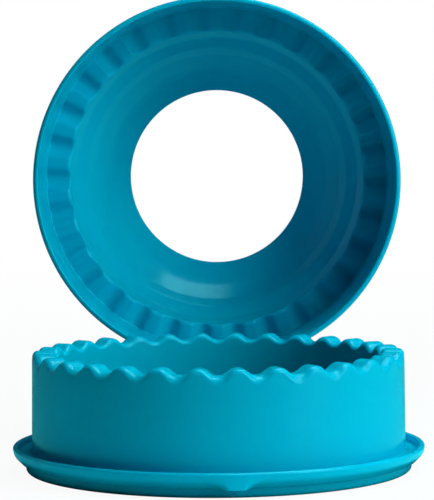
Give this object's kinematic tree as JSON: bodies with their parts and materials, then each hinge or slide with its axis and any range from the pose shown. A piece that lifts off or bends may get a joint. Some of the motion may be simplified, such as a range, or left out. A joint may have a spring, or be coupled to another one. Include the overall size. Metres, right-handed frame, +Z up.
{
  "type": "sandwich cutter and sealer",
  "caption": "Round two-piece hand tool: a base ring with a scalloped crimping crown and a press ring with cutting rim, fluted die and open centre.",
  "frame": {"origin": "centre of the base ring's foot, on the table", "axes": "+Z up, -Y to the viewer who sees the open side of the press ring, +Y from the base ring to the press ring behind it"},
  "size_m": [0.102, 0.1466, 0.1189],
  "materials": {
    "base_plastic": "smooth injection moulded, glossy turquoise",
    "press_plastic": "smooth injection moulded, glossy turquoise"
  },
  "bodies": {
    "base": {"base_ring": "base_plastic"},
    "press": {"press_ring": "press_plastic"}
  },
  "joints": [
    {"name": "press_ring_turn", "type": "hinge", "parent": "base", "child": "press", "pos_m": [0, 0.04305, 0.02665], "axis": [1, 0, 0], "range_deg": [0, 90]}
  ]
}
